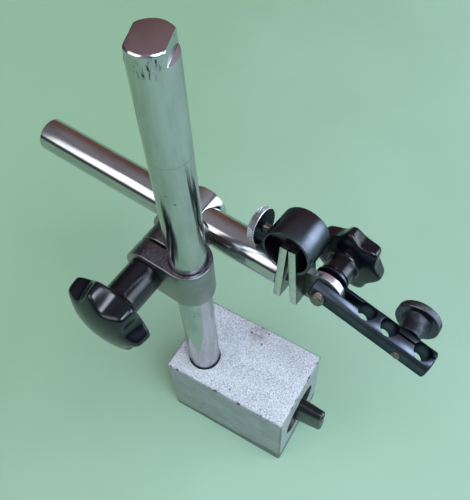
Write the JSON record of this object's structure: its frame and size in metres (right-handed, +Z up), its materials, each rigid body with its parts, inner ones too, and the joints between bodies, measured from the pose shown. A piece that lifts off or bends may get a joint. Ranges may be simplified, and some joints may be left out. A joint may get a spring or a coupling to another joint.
{
  "type": "magnetic indicator base",
  "caption": "Switchable magnet block with an upright post, a clamped cross arm with spring-ring fine adjustment, and a slotted swivelling bar that grips an indicator by its stem.",
  "frame": {"origin": "middle of the magnet block's underside", "axes": "+Z up along the post, +X along the block towards the end with the switch lever, -Y towards the block's front side, where the clamp knob points"},
  "size_m": [0.2072, 0.0909, 0.267],
  "materials": {
    "block_paint": "grey hammer paint with dark specks",
    "spacer_brass": "ground flush, painted over on top",
    "bright_steel": "ground and polished, fine pits and scratches",
    "ground_steel": "ground faces with fine lines",
    "satin_steel": "dark satin with fine lines, polished edges",
    "black_oxide": "black oxide, worn bright on the edges",
    "knob_plastic": "smooth moulded black",
    "lever_plastic": "moulded black",
    "insert_brass": "turned",
    "magnet": "sintered, dark grey"
  },
  "bodies": {
    "base": {"pole_front": "block_paint", "pole_rear": "block_paint", "spacer_upper": "spacer_brass", "spacer_lower": "spacer_brass", "rear_plug": "block_paint", "retaining_ring": "black_oxide"},
    "switch": {"rotor_magnet": "magnet", "rotor_shoes": "ground_steel", "rotor_spindle": "ground_steel", "rotor_disc": "lever_plastic", "switch_lever": "lever_plastic"},
    "column": {"post": "bright_steel"},
    "clamp": {"post_clamp": "satin_steel"},
    "arm_clamp": {"saddle_sleeve": "satin_steel", "draw_bolt": "bright_steel"},
    "clamp_screw": {"clamp_knob": "knob_plastic", "clamp_knob_insert": "insert_brass"},
    "cross_arm": {"arm": "bright_steel", "jaw_screw": "black_oxide"},
    "head": {"fixed_jaw": "ground_steel", "spring_ring": "black_oxide"},
    "jaw": {"moving_jaw": "ground_steel", "swivel_tongue": "ground_steel"},
    "adjuster": {"fine_screw": "black_oxide"},
    "holder": {"indicator_bar": "black_oxide", "swivel_washer": "ground_steel", "swivel_spring_washer": "black_oxide"},
    "swivel_screw": {"swivel_knob": "knob_plastic", "swivel_stud": "black_oxide"},
    "stem_clamp": {"stem_screw": "black_oxide"}
  },
  "joints": [
    {"name": "switch_turn", "type": "hinge", "parent": "base", "child": "switch", "pos_m": [0, 0, 0.0302], "axis": [1, 0, 0], "range_deg": [0, 90]},
    {"name": "post_swing", "type": "hinge", "parent": "base", "child": "column", "pos_m": [-0.0197, -0.0075, 0.057], "axis": [0, 0, 1], "continuous": true},
    {"name": "clamp_slide", "type": "slide", "parent": "column", "child": "clamp", "axis": [0, 0, 1], "range_m": [-0.03, 0.08]},
    {"name": "arm_tilt", "type": "hinge", "parent": "clamp", "child": "arm_clamp", "pos_m": [-0.03554, -0.00617, 0.143], "axis": [0.0837, 0.9965, 0], "range_deg": [-60, 10]},
    {"name": "clamp_knob_turn", "type": "hinge", "parent": "arm_clamp", "child": "clamp_screw", "pos_m": [-0.03554, -0.00617, 0.143], "axis": [-0.0837, -0.9965, 0], "range_deg": [0, 360]},
    {"name": "arm_slide", "type": "slide", "parent": "arm_clamp", "child": "cross_arm", "axis": [0.9965, -0.0837, 0], "range_m": [-0.004, 0.07]},
    {"name": "head_roll", "type": "hinge", "parent": "cross_arm", "child": "head", "pos_m": [-0.01765, 0.01691, 0.143], "axis": [0.9965, -0.0837, 0], "range_deg": [-100, 15]},
    {"name": "jaw_flex", "type": "hinge", "parent": "head", "child": "jaw", "pos_m": [0.0229, 0.01481, 0.15322], "axis": [0.083, 0.9886, -0.1253], "range_deg": [0, 4.8]},
    {"name": "fine_turn", "type": "hinge", "parent": "head", "child": "adjuster", "pos_m": [0.01404, 0.01671, 0.16235], "axis": [0.9921, -0.0702, 0.1037], "range_deg": [0, 360]},
    {"name": "bar_swing", "type": "hinge", "parent": "jaw", "child": "holder", "pos_m": [0.03319, 0.01277, 0.144], "axis": [0.083, 0.9886, -0.1253], "range_deg": [-75, 45]},
    {"name": "swivel_knob_turn", "type": "hinge", "parent": "holder", "child": "swivel_screw", "pos_m": [0.03319, 0.01277, 0.144], "axis": [0.083, 0.9886, -0.1253], "range_deg": [0, 360]},
    {"name": "stem_screw_turn", "type": "hinge", "parent": "holder", "child": "stem_clamp", "pos_m": [0.07032, 0.00873, 0.13673], "axis": [0.083, 0.9886, -0.1253], "range_deg": [0, 360]}
  ],
  "couplings": [
    {"joint": "fine_turn", "follows": "jaw_flex", "ratio": 75}
  ]
}
